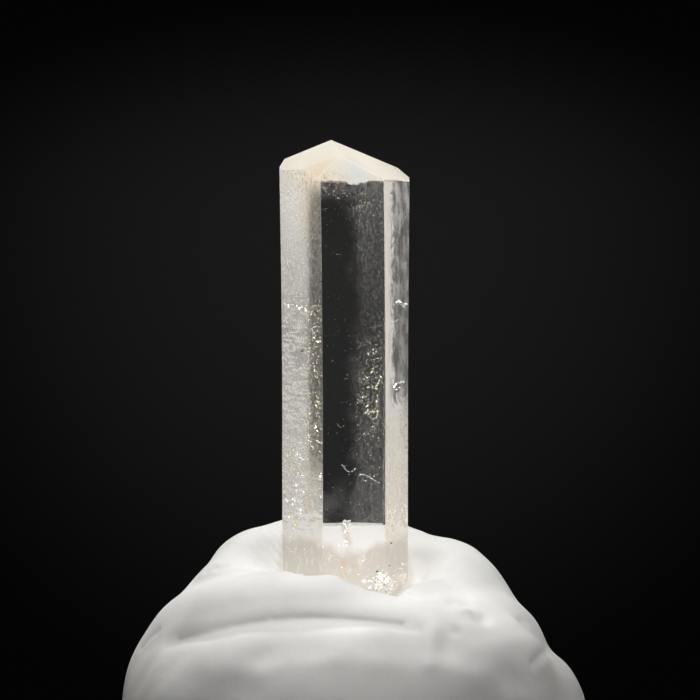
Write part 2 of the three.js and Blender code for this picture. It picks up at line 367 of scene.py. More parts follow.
def on_putty(px, py):
    """The point that a pixel shows on the putty, before its small marks are made."""
    start, aim = pixel_ray(px, py)
    start, aim = np.array(start), np.array(aim)
    reach = CAMERA_DISTANCE - PUTTY_REACH
    for _ in range(SIGHT_TURNS):
        reach += SIGHT_STEP * putty_body((start + aim * reach)[None, :])[0]
    return start + aim * reach


def placed_marks():
    marks = [(depth, width, [on_putty(*pixel) for pixel in line])
             for depth, width, line in MARKS]
    pits = [(on_putty(px, py), radius, depth) for px, py, radius, depth in PITS]
    return marks, pits


def putty_field(p, marks, pits):
    field = putty_body(p)
    for depth, width, chain in marks:
        low, high = np.min(chain, 0) - 3 * width, np.max(chain, 0) + 3 * width
        close = np.flatnonzero(((p > low) & (p < high)).all(1))
        away = chain_distance(p[close], chain) / width
        field[close] += depth * np.exp(-away * away)
    for at, radius, depth in pits:
        away = np.linalg.norm(p - at, axis=1) / radius
        field += depth * np.exp(-away * away)
    x, y, z = p.T
    rim = np.exp(-((np.hypot(x, y) - RIM_RADIUS) / RIM_WIDTH) ** 2)
    crumbled = np.sin(x * 7.3 + y * 3.1) * np.sin(z * 8.3 + x * 5.1)
    crumbled *= np.sin(y * 6.7 - z * 4.9 + 1.0)
    swells = np.sin(x * 0.9 + 1.3) * np.sin(y * 0.8 - 0.4) * np.sin(z * 0.85 + 0.7)
    ripples = np.sin(x * 2.1 - z * 1.3) * np.sin(y * 1.9 + z * 1.1 + 2.0)
    return field + CRUMBLE_DEPTH * rim * crumbled + SWELL_DEPTH * swells + RIPPLE_DEPTH * ripples


def surface_reach(direction):
    """How far out from the centre the putty's surface lies in each direction."""
    reach = np.full(len(direction), PUTTY_REACH)
    active = np.arange(len(direction))
    for _ in range(BODY_TURNS):
        field = putty_body(PUTTY_CENTRE + direction[active] * reach[active, None])
        reach[active] -= BODY_STEP * field
        active = active[np.abs(field) > BODY_NEAR]
        if len(active) == 0:
            break
    marks, pits = placed_marks()
    for _ in range(DETAIL_TURNS):
        reach -= DETAIL_STEP * putty_field(PUTTY_CENTRE + direction * reach[:, None], marks, pits)
    return reach


def add_soil_and_shade(mesh):
    """Dark brown in some of the marks, partly soiled and partly painted shade, kept on the mesh
    for the putty's shader.
    """
    points = np.empty(len(mesh.vertices) * 3)
    mesh.vertices.foreach_get("co", points)
    points = points.reshape(-1, 3) / MM
    marks, _ = placed_marks()
    soiled_shade = np.zeros(len(points))
    for i in SOILED_SHADED_MARKS:
        _, width, chain = marks[i]
        away = chain_distance(points, chain) / (SOILED_SHADED_WIDTH * width)
        soiled_shade = np.maximum(soiled_shade, np.exp(-away * away))
    mesh.attributes.new("soil_and_shade", "FLOAT", "POINT").data.foreach_set("value", soiled_shade)


def build_putty():
    around, down = GRID
    turn = np.linspace(0, 2 * np.pi, around, endpoint=False)
    theta = turn - GRID_CROWDING * np.sin(turn) - np.pi / 2
    phi = np.linspace(GRID_TOP, GRID_END, down)
    t, f = np.meshgrid(theta, phi)
    direction = np.stack([np.cos(t) * np.sin(f), np.sin(t) * np.sin(f), np.cos(f)], -1)
    direction = direction.reshape(-1, 3)
    points = PUTTY_CENTRE + direction * surface_reach(direction)[:, None]
    i = np.arange(down - 1)[:, None] * around
    j = np.arange(around)[None, :]
    k = (j + 1) % around
    quads = np.stack([i + j, i + around + j, i + around + k, i + k], -1).reshape(-1, 4)
    faces = quads.tolist()
    faces.append(list(range(around)))
    faces.append(list(range((down - 1) * around, down * around))[::-1])
    mesh = bpy.data.meshes.new("putty_grid")
    mesh.from_pydata(points.tolist(), [], faces)
    bm = bmesh.new()
    bm.from_mesh(mesh)
    bpy.data.meshes.remove(mesh)
    cut_away(bm, (0, 0, 0), (0, 0, -1))
    bmesh.ops.recalc_face_normals(bm, faces=bm.faces[:])
    lump = finished("putty_lump", bm)
    cutter = finished("pocket", prism_bmesh(POCKET_FLOOR_Z, POCKET_TOP_Z, 2, -CONTACT))
    carve = lump.modifiers.new("pocket", "BOOLEAN")
    carve.operation = "DIFFERENCE"
    carve.solver = "EXACT"
    carve.object = cutter
    depsgraph = bpy.context.evaluated_depsgraph_get()
    carved = bpy.data.meshes.new_from_object(lump.evaluated_get(depsgraph))
    lump.modifiers.clear()
    lump.data = carved
    bpy.data.objects.remove(cutter)
    carved.shade_smooth()
    add_soil_and_shade(carved)
    return lump


# ---- shaders
class Nodes:
    """Short calls for the nodes of a tree."""

    def __init__(self, tree):
        self.tree = tree

    def fill(self, socket, value):
        if isinstance(value, bpy.types.NodeSocket):
            self.tree.links.new(value, socket)
        elif socket.type == "RGBA" and len(value) == 3:
            socket.default_value = (*value, 1)
        else:
            socket.default_value = value

    def node(self, kind, inputs, **properties):
        made = self.tree.nodes.new(kind)
        for key, value in properties.items():
            setattr(made, key, value)
        for key, value in inputs.items():
            self.fill(made.inputs[key], value)
        return made

    def vector(self, operation, a, b):
        return self.node("ShaderNodeVectorMath", {0: a, 1: b}, operation=operation).outputs[0]

    def math(self, operation, a, b=0.0):
        return self.node("ShaderNodeMath", {0: a, 1: b}, operation=operation).outputs[0]

    def fold(self, operation, values):
        return functools.reduce(lambda a, b: self.math(operation, a, b), values)

    def times(self, *values):
        return self.fold("MULTIPLY", values)

    def plus(self, *values):
        return self.fold("ADD", values)

    def most(self, *values):
        return self.fold("MAXIMUM", values)

    def ramp(self, value, low, high, start=0.0, end=1.0):
        made = self.node("ShaderNodeMapRange", {
            "Value": value, "From Min": low, "From Max": high, "To Min": start, "To Max": end,
        }, interpolation_type="SMOOTHSTEP")
        return made.outputs[0]


class Shade(Nodes):
    """A material. Texture scales are per millimetre."""

    def __init__(self, name, **settings):
        self.material = bpy.data.materials.new(name)
        self.material.use_nodes = True
        super().__init__(self.material.node_tree)
        self.shader = self.tree.nodes["Principled BSDF"]
        for socket, value in settings.items():
            self.set(socket.replace("_", " "), value)
        place = self.node("ShaderNodeTexCoord", {})
        self.place = self.vector("MULTIPLY", place.outputs["Object"], (1 / MM,) * 3)
        split = self.node("ShaderNodeSeparateXYZ", {0: self.place}).outputs
        self.x, self.z = split["X"], split["Z"]

    def set(self, socket, value):
        self.fill(self.shader.inputs[socket], value)

    def cover(self, film):
        """Lets light through only where no milky film lies."""
        self.set("Transmission Weight", self.math("SUBTRACT", 1.0, film))

    def noise(self, scale, detail=3.0, rough=0.55, stretch=None, turn=(0, 0, 0)):
        place = self.place
        if stretch:
            turn = tuple(math.radians(t) for t in turn)
            inputs = {"Vector": place, "Rotation": turn, "Scale": stretch}
            place = self.node("ShaderNodeMapping", inputs).outputs[0]
        return self.node("ShaderNodeTexNoise", {
            "Vector": place, "Scale": scale, "Detail": detail, "Roughness": rough,
        }).outputs[0]

    def zone(self, value, ends, other, other_ends):
        """Where two ramps overlap."""
        return self.times(self.ramp(value, *ends), self.ramp(other, *other_ends))

    def patchy(self, noise, low, high, start=0.0, end=1.0):
        """Noise, as (scale, detail, roughness, stretch, turn), drawn out to two ends."""
        return self.ramp(self.noise(*noise), low, high, start, end)

    def mix(self, share, a, b):
        made = self.node("ShaderNodeMix", {0: share, 6: a, 7: b}, data_type="RGBA")
        return made.outputs[2]

    def bump(self, height, strength, distance):
        """Roughens the surface, on top of the bumps it has already."""
        inputs = {"Height": height, "Strength": strength, "Distance": distance * MM}
        below = self.shader.inputs["Normal"].links
        if below:
            inputs["Normal"] = below[0].from_socket
        self.set("Normal", self.node("ShaderNodeBump", inputs).outputs[0])


CRYSTAL_TINT = (0.985, 0.97, 0.945)
CREAM = (0.96, 0.90, 0.79)
BEIGE = (0.74, 0.69, 0.62)
STAIN = (0.93, 0.76, 0.52)
FOOT_STAIN = (0.82, 0.62, 0.42)
FRECKLE = (0.50, 0.38, 0.26)
PALE_STAIN = (1.0, 0.91, 0.77)
TAN = (0.78, 0.64, 0.46)
# painted shade: dark tints for the strips beside the window on the left and right faces
BROWN_PAINTED_SHADE = (0.36, 0.31, 0.25)
GREY_PAINTED_SHADE = (0.24, 0.25, 0.27)
CLOUD = (0.80, 0.80, 0.79)
# centre and radius of the two patches on the tip
STAIN_PATCH = ((-1.35, -2.7, 34.55), 1.9)
CLOUD_PATCH = ((0.5, -3.0, 34.6), 1.5)
# pixel, face and radius of the rust-coloured stains on the foot
FOOT_STAINS = [
    (347, 534, FRONT, 0.5), (348, 541, FRONT, 0.5), (345, 563, FRONT, 0.35),
    (342, 576, FRONT, 0.3), (353, 566, FRONT, 0.2), (403, 537, RIGHT_FRONT, 0.5),
    (401, 577, RIGHT_FRONT, 0.5), (392, 585, RIGHT_FRONT, 0.3),
]
# photo pixels down the glassy streak over the foot, of the lobe of the milky top and of
# the top of the white band painted below the window, all on the front face
FOOT_STREAK = [(345 + 0.5 * step, 529 + 2 * step) for step in range(8)]
STREAK_RADIUS, STREAK_SHARE = 0.34, 0.7
CAP_LOBE = (355, 183)
LOBE_RADIUS, LOBE_DROP = 0.9, 0.2
WINDOW_BRIM = (352, 525)
CAP_FROM_Z = 34.18
FOOT_VEIL_Z = 13.35
# how much light the films hold back; the white band below the window is painted light, standing
# in for the lit putty seen through it
CAP_MILK, FOOT_MILK, BRIM_PAINTED_LIGHT, FRECKLE_MILK = 0.95, 0.78, 0.88, 0.8
TIP_CLEARNESS = 0.05
FOOT_FILM, PATCH_FILM, WARM_FILM = 0.9, 0.6, 0.35
# x of the front face's middle and of the left face's front corner
WINDOW_MIDDLE_X, LEFT_CORNER_X = 0.15, -2.07
# millimetres between which the zones of the left face fade in: level, or x
LEFT_STRIP_X, LEFT_SHADE_Z = (-2.3, -1.85), (16.4, 19.0)
LEFT_PATCHES_Z, LEFT_FOOT_Z = (21.0, 18.0), (17.0, 14.4)
TAN_X, TAN_Z = (-3.0, -1.9), (28.5, 33.2)
SCRATCHES_FROM_Z, SCRATCHES_TO_Z = (14.0, 17.0), (29.0, 24.0)
# the same for the right face
RIGHT_WARM_Z, RIGHT_FOOT_Z = (21.6, 20.0), (16.6, 14.4)
RIGHT_SHADE_X, RIGHT_SHADE_Z = (2.35, 2.7), (20.8, 22.4)
FROST_X, FROST_Z = (2.45, 2.9), (21.2, 22.2)
# and for the window: its haze below and above, and its specks on the right
HAZE_LOW_Z, HAZE_HIGH_Z, SPECKS_X = (17.6, 15.4), (32.4, 34.2), (0.0, 1.1)


def glass(name, roughness):
    return Shade(name, Base_Color=CRYSTAL_TINT, Transmission_Weight=1.0, IOR=IOR,
                 Roughness=roughness)


def near(shade, at, radius):
    """One close to a point, falling to nothing at the radius."""
    away = shade.node("ShaderNodeVectorMath", {0: shade.place, 1: at}, operation="DISTANCE")
    return shade.ramp(away.outputs["Value"], radius, 0.0)


def stained_cream(shade):
    speckle = shade.patchy((5.0, 4, 0.7), 0.36, 0.56)
    stain = shade.times(near(shade, *STAIN_PATCH), speckle)
    cloud = shade.times(near(shade, *CLOUD_PATCH), 0.8)
    return shade.mix(stain, shade.mix(cloud, CREAM, CLOUD), STAIN)


def milky_top(shade, level, drop, softness):
    teeth = shade.patchy((3.5, 3, 0.6), 0.2, 0.8, -0.07, 0.07)
    lobe = shade.times(near(shade, on_face(*CAP_LOBE, FRONT), LOBE_RADIUS), LOBE_DROP)
    edge = shade.plus(level, teeth, lobe)
    return shade.ramp(edge, CAP_FROM_Z - drop - softness, CAP_FROM_Z - drop + softness)


def milky_foot(shade, level):
    wavy = shade.patchy((0.6, 3, 0.6), 0.2, 0.8, -0.3, 0.3)
    from_middle = shade.math("SUBTRACT", shade.x, WINDOW_MIDDLE_X)
    from_middle = shade.math("ABSOLUTE", from_middle)
    wavy = shade.plus(wavy, shade.ramp(from_middle, 0.3, 1.9, 0.0, -0.45))
    low = shade.ramp(shade.plus(level, wavy), FOOT_VEIL_Z + 0.3, FOOT_VEIL_Z - 0.45)
    for px, py in FOOT_STREAK:
        streak = near(shade, on_face(px, py, FRONT), STREAK_RADIUS)
        low = shade.most(low, shade.times(streak, STREAK_SHARE))
    return low


def foot_colour(shade):
    """Beige with cream wisps and rusty stains."""
    rusty = 0.0
    for px, py, index, radius in FOOT_STAINS:
        rusty = shade.most(near(shade, on_face(px, py, index), radius), rusty)
    patchy = shade.patchy((2.5, 3, 0.6), 0.35, 0.65, 0.4, 1.0)
    wisps = shade.patchy((2.2, 5, 0.75, (1, 1, 0.5), (0, 20, 0)), 0.5, 0.66, 0.0, 0.55)
    return shade.mix(shade.times(rusty, patchy), shade.mix(wisps, BEIGE, CREAM), FOOT_STAIN)


def grit_under_cap(shade, level, slant):
    """Brown grit in a band under the milky top, which may rise to the right."""
    grit = shade.patchy((5.5, 4, 0.7), 0.50, 0.62)
    sloping = shade.plus(shade.x, -LEFT_CORNER_X)
    band = shade.plus(level, shade.times(sloping, slant))
    under = shade.zone(band, (CAP_FROM_Z - 1.1, CAP_FROM_Z - 0.1),
                       band, (CAP_FROM_Z + 0.6, CAP_FROM_Z))
    leftwards = shade.ramp(shade.x, 0.4, -0.6, 0.15, 1.0)
    return shade.times(grit, under, leftwards)


def veil(shade, drop=0.0, softness=0.06, clear=CRYSTAL_TINT, slant=0.0):
    """The milky top and foot of the prism's faces, which are clear between them."""
    level = shade.z
    top = milky_top(shade, level, drop, softness)
    low = milky_foot(shade, level)
    freckles = grit_under_cap(shade, level, slant)
    colour = shade.mix(top, shade.mix(low, clear, foot_colour(shade)), stained_cream(shade))
    shade.set("Base Color", shade.mix(freckles, colour, FRECKLE))
    fibres = shade.patchy((1.6, 4, 0.6, (1, 1, 0.6)), 0.3, 0.7, 0.85, 1.1)
    milk = shade.most(shade.times(top, CAP_MILK), shade.times(low, fibres, FOOT_MILK),
                      shade.times(freckles, FRECKLE_MILK))
    shade.cover(milk)
    return milk


def clear_shade():
    shade = glass("clear_phenakite", 0.015)
    shade.bump(shade.noise(1.3, 2, stretch=(1, 1, 0.3)), 0.05, 0.02)
    shade.bump(shade.patchy((9.0, 2), 0.68, 0.78), 0.25, 0.01)
    shade.set("Roughness", shade.ramp(veil(shade), 0.0, 1.0, 0.02, 0.2))
    return shade


def worn_shade():
    """The left face: frosted, with scratches half way up and a strip by the window tinted dark as
    painted shade.
    """
    shade = glass("worn_phenakite", 0.12)
    x, level = shade.x, shade.z
    strip = shade.ramp(x, *LEFT_STRIP_X)
    patches = shade.times(shade.ramp(level, *LEFT_PATCHES_Z),
                          shade.patchy((1.3, 4, 0.7), 0.45, 0.6))
    # painted shade: a dark brown tint in the strip by the window, standing in for the darker view
    # through the face
    strip_shade = shade.times(strip, shade.patchy((4.0, 4, 0.75), 0.42, 0.6),
                        shade.ramp(level, *LEFT_SHADE_Z))
    tan = shade.times(shade.ramp(level, *TAN_Z, 0.0, 0.9), shade.ramp(x, *TAN_X))
    clear = shade.mix(tan, shade.mix(patches, CRYSTAL_TINT, PALE_STAIN), TAN)
    clear = shade.mix(strip_shade, clear, BROWN_PAINTED_SHADE)
    milk = veil(shade, drop=0.5, softness=0.75, clear=clear, slant=0.75)
    streaks = shade.noise(1.0, 4, 0.65, (1, 1, 5), (0, 35, 0))
    grain = shade.noise(7.0, 4, 0.75)
    film = shade.ramp(grain, 0.38, 0.62, 0.1, 0.7)
    middle = shade.zone(level, SCRATCHES_FROM_Z, level, SCRATCHES_TO_Z)
    film = shade.plus(film, shade.times(middle, shade.ramp(streaks, 0.42, 0.6, -0.2, 0.45)))
    film = shade.times(film, shade.ramp(x, -1.75, -2.3, 0.3, 1.0))
    under_cap = shade.times(shade.ramp(level, CAP_FROM_Z - 1.2, CAP_FROM_Z, 0.0, 0.8),
                            shade.ramp(grain, 0.3, 0.6))
    ragged = shade.plus(level, shade.ramp(streaks, 0.3, 0.7, -0.8, 0.8))
    above_foot = shade.ramp(ragged, *LEFT_FOOT_Z, 0.0, FOOT_FILM)
    shade.cover(shade.most(film, under_cap, milk, above_foot, shade.times(patches, PATCH_FILM)))
    shade.bump(grain, 0.4, 0.03)
    scuffed = shade.ramp(streaks, 0.3, 0.7, 0.08, 0.25)
    inner = shade.times(strip, 0.5, shade.ramp(level, 16.5, 19.5, 0.3, 1.0))
    shade.set("Roughness", shade.most(scuffed, inner))
    return shade


def frosted_shade():
    """The right face: clear by the window, frosted high along its outer part and tinted dark
    there as painted shade.
    """
    shade = glass("frosted_phenakite", 0.12)
    x, level = shade.x, shade.z
    warmth = shade.times(shade.ramp(level, *RIGHT_WARM_Z),
                         shade.patchy((0.9, 4, 0.6), 0.3, 0.65, 0.25, 1.0))
    # painted shade: a dark grey tint high on the outer part, standing in for the darker view
    # through the face
    strip_shade = shade.patchy((1.5, 5, 0.75, (1, 1, 0.5)), 0.42, 0.6)
    strip_shade = shade.times(strip_shade, shade.zone(x, RIGHT_SHADE_X, level, RIGHT_SHADE_Z))
    clear = shade.mix(warmth, CRYSTAL_TINT, PALE_STAIN)
    milk = veil(shade, clear=shade.mix(strip_shade, clear, GREY_PAINTED_SHADE))
    ragged = shade.patchy((2.5, 4, 0.7), 0.25, 0.75, -0.18, 0.18)
    outer = shade.ramp(shade.plus(x, ragged), *FROST_X)
    high = shade.ramp(shade.plus(level, shade.times(ragged, 4.0)), *FROST_Z)
    blotches = shade.patchy((1.0, 5, 0.7, (1, 1, 0.5)), 0.35, 0.65, 0.45, 1.0)
    frost = shade.times(outer, high, blotches)
    scuffs = shade.patchy((2.6, 4, 0.7, (1, 1, 0.4)), 0.40, 0.62, 0.0, 0.75)
    ragged_foot = shade.plus(level, shade.times(ragged, 8.0))
    above_foot = shade.ramp(ragged_foot, *RIGHT_FOOT_Z, 0.0, FOOT_FILM)
    shade.cover(shade.most(shade.times(frost, scuffs), milk, above_foot,
                           shade.times(warmth, WARM_FILM)))
    grain = shade.noise(5.0, 4, 0.7, (1, 1, 0.6))
    shade.bump(grain, shade.ramp(frost, 0, 1, 0.05, 0.8), 0.05)
    shade.set("Roughness", shade.ramp(shade.most(frost, milk), 0, 1, 0.06, 0.65))
    return shade


def etched_shade():
    """The back face, dull over the half that shows on the right of the front window."""
    shade = glass("etched_phenakite", 0.22)
    level = shade.z
    drift = shade.patchy((0.5, 2, 0.5), 0.3, 0.7, -0.15, 0.15)
    etched = shade.times(shade.ramp(shade.plus(shade.x, drift), *ETCHED_X),
                         shade.ramp(level, 17.0, 24.0, 0.45, 1.0),
                         shade.ramp(level, 14.6, 15.6))
    patchy = shade.patchy((1.1, 4, 0.6), 0.25, 0.75, 0.7, 1.0)
    shade.set("Roughness", shade.ramp(shade.times(etched, patchy), 0, 1, 0.03, 0.48))
    shade.bump(shade.noise(6.5, 4, 0.7), shade.times(etched, 0.55), 0.06)
    return shade


def front_shade():
    """The front window: clear, with fine specks on its right, a haze at each end and painted
    light below it.
    """
    shade = glass("front_phenakite", 0.015)
    level = shade.z
    drift = shade.patchy((0.6, 3, 0.5), 0.3, 0.7, -0.3, 0.3)
    drifting = shade.plus(level, drift)
    specks = shade.patchy((8.5, 4, 0.8, (1, 1, 0.55), (0, 12, 0)), 0.44, 0.66, 0.04, 0.27)
    right = shade.ramp(shade.plus(shade.x, drift), *SPECKS_X)
    clouds = shade.patchy((0.9, 3, 0.6), 0.3, 0.7, 0.0, 0.10)
    tufts = shade.patchy((2.5, 4, 0.7), 0.35, 0.65, 0.02, 0.16)
    film = shade.most(shade.times(right, specks),
                      shade.times(shade.ramp(drifting, *HAZE_LOW_Z), clouds),
                      shade.times(shade.ramp(drifting, *HAZE_HIGH_Z), tufts))
    brim = on_face(*WINDOW_BRIM, FRONT).z
    film = shade.times(film, shade.ramp(level, brim, brim + 0.15))
    # painted light: a white band below the window standing in for the lit putty behind the glass
    foot = shade.ramp(level, brim + 0.02, brim - 0.02, 0.0, BRIM_PAINTED_LIGHT)
    milk = veil(shade)
    shade.cover(shade.most(film, foot, milk))
    shade.bump(shade.noise(1.3, 2, stretch=(1, 1, 0.3)), 0.05, 0.02)
    shade.set("Roughness", shade.ramp(milk, 0.0, 1.0, 0.02, 0.2))
    return shade


def edge_shade():
    shade = glass("worn_edge", 0.3)
    nicks = shade.patchy((4.5, 3, 0.7), 0.4, 0.6, 0.4, 0.85)
    shade.cover(shade.most(nicks, veil(shade)))
    return shade


def cap_shade():
    shade = glass("cap_phenakite", 0.3)
    shade.bump(shade.noise(4.0, 4, 0.6), 0.12, 0.03)
    shade.set("Base Color", stained_cream(shade))
    shade.set("Transmission Weight", TIP_CLEARNESS)
    return shade


def foot_shade():
    shade = glass("broken_phenakite", 0.3)
    shade.bump(shade.noise(3.0, 4, 0.7), 0.6, 0.1)
    return shade


def grain_shade(name, colour, roughness):
    shade = Shade(name, Base_Color=colour, Roughness=roughness)
    darker = [c * 0.86 for c in colour]
    shade.set("Base Color", shade.mix(shade.noise(5.0), colour, darker))
    return shade


def glint_shade(name, colour):
    """A facet of a crack in a face, which mirrors the lamps as total reflection does."""
    shade = Shade(name, Base_Color=colour, Metallic=1.0, Roughness=0.3)
    shade.set("Roughness", shade.patchy((6.0,), 0.3, 0.7, 0.15, 0.35))
    return shade


# the putty's colours: its own white and mottle; painted shade at the base, lower left and pocket;
# painted light on the ridge; soiling and painted shade in the marks
PUTTY_WHITE = (0.82, 0.815, 0.80)
PUTTY_MOTTLE = (0.77, 0.765, 0.75)
PUTTY_BASE_SHADE = (0.73, 0.725, 0.71)
PUTTY_LOW_LEFT_SHADE = (0.48, 0.475, 0.46)
PUTTY_RIDGE_LIGHT = (0.93, 0.925, 0.91)
PUTTY_SOIL_AND_SHADE = (0.22, 0.16, 0.11)
PUTTY_POCKET_SHADE = (0.68, 0.665, 0.64)
SOIL_AND_SHADE_SHARE = 0.45
# millimetres between which the zones of the putty fade in
BASE_Z = (9.5, 2.5)
LOW_LEFT_X, LOW_LEFT_Z = (-6.5, -11.5), (7.5, 4.0)
RIDGE_X, RIDGE_FROM_Z, RIDGE_TO_Z = (-10.5, -7.5), (9.1, 9.8), (11.4, 10.6)
RIDGE_FALL_X, RIDGE_FALL = (-3.5, -10.0), 1.3
POCKET_RADIUS, POCKET_RIM_Z = (4.1, 3.7), (14.6, 14.2)


def putty_shade():
    """White, with painted light on the left ridge and painted shade at the base, lower left and
    pocket.
    """
    shade = Shade("white_putty", Roughness=0.72, Specular_IOR_Level=0.3)
    x, z = shade.x, shade.z
    mottle = shade.patchy((0.35, 4, 0.55), 0.3, 0.7)
    skin = shade.mix(mottle, PUTTY_WHITE, PUTTY_MOTTLE)
    # painted shade: darker towards the base
    skin = shade.mix(shade.ramp(z, *BASE_Z), skin, PUTTY_BASE_SHADE)
    # painted shade: darker low on the left
    skin = shade.mix(shade.zone(x, LOW_LEFT_X, z, LOW_LEFT_Z), skin, PUTTY_LOW_LEFT_SHADE)
    # painted light: a paler band above the crease on the left
    ridge_z = shade.plus(z, shade.ramp(x, *RIDGE_FALL_X, 0.0, RIDGE_FALL))
    ridge = shade.times(shade.ramp(ridge_z, *RIDGE_FROM_Z, 0.0, 0.8),
                        shade.ramp(ridge_z, *RIDGE_TO_Z), shade.ramp(x, *RIDGE_X))
    skin = shade.mix(ridge, skin, PUTTY_RIDGE_LIGHT)
    # dark brown in the cracks and the crease: partly soiling, partly painted shade
    soiled_shade = shade.node("ShaderNodeAttribute", {}, attribute_name="soil_and_shade").outputs["Fac"]
    skin = shade.mix(shade.times(soiled_shade, SOIL_AND_SHADE_SHARE), skin, PUTTY_SOIL_AND_SHADE)
    # painted shade: darker in the crystal's pocket, where it meets the crystal
    level_place = shade.vector("MULTIPLY", shade.place, (1, 1, 0))
    from_axis = shade.node("ShaderNodeVectorMath", {0: level_place}, operation="LENGTH")
    pocket_shade = shade.zone(from_axis.outputs["Value"], POCKET_RADIUS, z, POCKET_RIM_Z)
    shade.set("Base Color", shade.mix(pocket_shade, skin, PUTTY_POCKET_SHADE))
    shade.bump(shade.noise(0.8, 4, 0.5), 0.3, 0.15)
    shade.bump(shade.noise(5.0, 4, 0.6), 0.12, 0.03)
    return shade


# ---- small things in and on the crystal
SHARD_FACES = (
    (0, 2, 4), (2, 1, 4), (1, 3, 4), (3, 0, 4), (2, 0, 5), (1, 2, 5), (3, 1, 5), (0, 3, 5),
)


def shard_corners(rng, centre, size):
    turn = Matrix.Rotation(rng.uniform(0, math.tau), 3, Vector(
        (rng.uniform(-1, 1), rng.uniform(-1, 1), rng.uniform(-1, 1))).normalized())
    axes = [turn @ Vector(axis) * size for axis in ((1, 0, 0), (0, 1, 0), (0, 0, 1))]
    return [centre + axis * side * rng.uniform(0.6, 1.2) for axis in axes for side in (-1, 1)]


def shard_mesh(name, places, hollow=False):
    """Small flat-sided bodies. Each place is a centre and a half size.

    Hollow ones are voids in the solid that holds them, so their faces look inwards."""
    rng = random.Random(name)
    verts, faces = [], []
    for place in places:
        start = len(verts)
        verts += [corner * MM for corner in shard_corners(rng, *place)]
        for face in SHARD_FACES:
            loop = [start + i for i in face]
            faces.append(loop[::-1] if hollow else loop)
    mesh = bpy.data.meshes.new(name)
    mesh.from_pydata(verts, [], faces)
    return mesh


def dress(made, shade):
    made.data.materials.append(shade.material)
    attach(made, "root")


def grains(name, places, shade):
    dress(mesh_object(name, shard_mesh(name, places)), shade)


def add_voids(crystal, places):
    bm = bmesh.new()
    bm.from_mesh(crystal.data)
    voids = shard_mesh("voids", places, hollow=True)
    bm.from_mesh(voids)
    bm.to_mesh(crystal.data)
    bm.free()
    bpy.data.meshes.remove(voids)


# how far a spot on a face stands out of it, and how a flake is cut, in its half sizes
STAND_OUT = -0.3
FLAKE_SIDES, FLAKE_DEPTH = 5, 0.6


def scatter(rng, count, box, sizes, place, inset):
    """Random grains within a box of photo pixels, set in below a face."""
    left, top, right, bottom = box
    found = []
    for _ in range(count):
        px, py = rng.uniform(left, right), rng.uniform(top, bottom)
        size = rng.uniform(*sizes)
        found.append((place(px, py, rng.uniform(*inset) + size), size))
    return found


def sprinkle(rng, count, box, sizes, place):
    """Random spots on a face, within a box of photo pixels."""
    left, top, right, bottom = box
    found = []
    for _ in range(count):
        size = rng.uniform(*sizes)
        px, py = rng.uniform(left, right), rng.uniform(top, bottom)
        found.append((place(px, py, STAND_OUT * size), size))
    return found


def clusters(rng, spots, sizes, place):
    """Spots gathered about each centre pixel, given with the spread and the count."""
    found = []
    for px, py, across, up, count in spots:
        for _ in range(count):
            size = rng.uniform(*sizes)
            x, y = rng.gauss(px, across), rng.gauss(py, up)
            found.append((place(x, y, STAND_OUT * size), size))
    return found


def along(rng, pixels, size, place):
    """Spots that follow a line of photo pixels on a face."""
    points = [place(px, py, STAND_OUT * size) for px, py in pixels]
    found = []
    for a, b in zip(points, points[1:]):
        count = max(2, round(1.2 * (b - a).length / size))
        for k in range(count):
            share = (k + rng.uniform(0.2, 0.8)) / count
            shift = Vector([rng.uniform(-0.8, 0.8) * size for _ in range(3)])
            found.append((a.lerp(b, share) + shift, size * rng.uniform(0.5, 1.3)))
    return found


def flakes(rng, places):
    """Small bright fracture facets, most of them turned towards the front lamp."""
    bodies = []
    for centre, size in places:
        lean = Vector([rng.uniform(-0.2, 0.2) for _ in range(3)])
        normal = (GLINT_NORMAL + lean).normalized()
        across = normal.orthogonal().normalized()
        upward = normal.cross(across)
        start = rng.uniform(0, math.tau)
        rim = []
        for k in range(FLAKE_SIDES):
            a = start + math.tau * k / FLAKE_SIDES
            outward = across * math.cos(a) + upward * math.sin(a)
            rim.append(centre + outward * size * rng.uniform(0.5, 1.1))
        bodies.append((rim, centre - normal * size * FLAKE_DEPTH))
    return bodies


def facets(name, bodies, shade):
    verts, faces = [], []
    for rim, apex in bodies:
        start, sides = len(verts), len(rim)
        verts += [corner * MM for corner in (*rim, apex)]
        loop = list(range(sides))
        if (rim[1] - rim[0]).cross(rim[2] - rim[1]).dot(apex - rim[0]) > 0:
            loop.reverse()
        faces.append([start + i for i in loop])
        for i, j in zip(loop, loop[1:] + loop[:1]):
            faces.append([start + j, start + i, start + sides])
    mesh = bpy.data.meshes.new(name)
    mesh.from_pydata(verts, [], faces)
    dress(mesh_object(name, mesh), shade)


WINDOW_RIGHT_PIXEL = 384


def on(index):
    return lambda px, py, inset: on_face(px, py, index, inset)


in_front, in_left, in_right = on(FRONT), on(LEFT_FRONT), on(RIGHT_FRONT)


def in_foot(px, py, inset):
    return on_face(px, py, FRONT if px < WINDOW_RIGHT_PIXEL else RIGHT_FRONT, inset)


def in_back(px, py, inset):
    return through(px, py, FRONT, BACK, inset)


# halfway between the sight line and the front lamp
GLINT_NORMAL = Vector((0.0, -math.cos(math.radians(24)), math.sin(math.radians(24))))
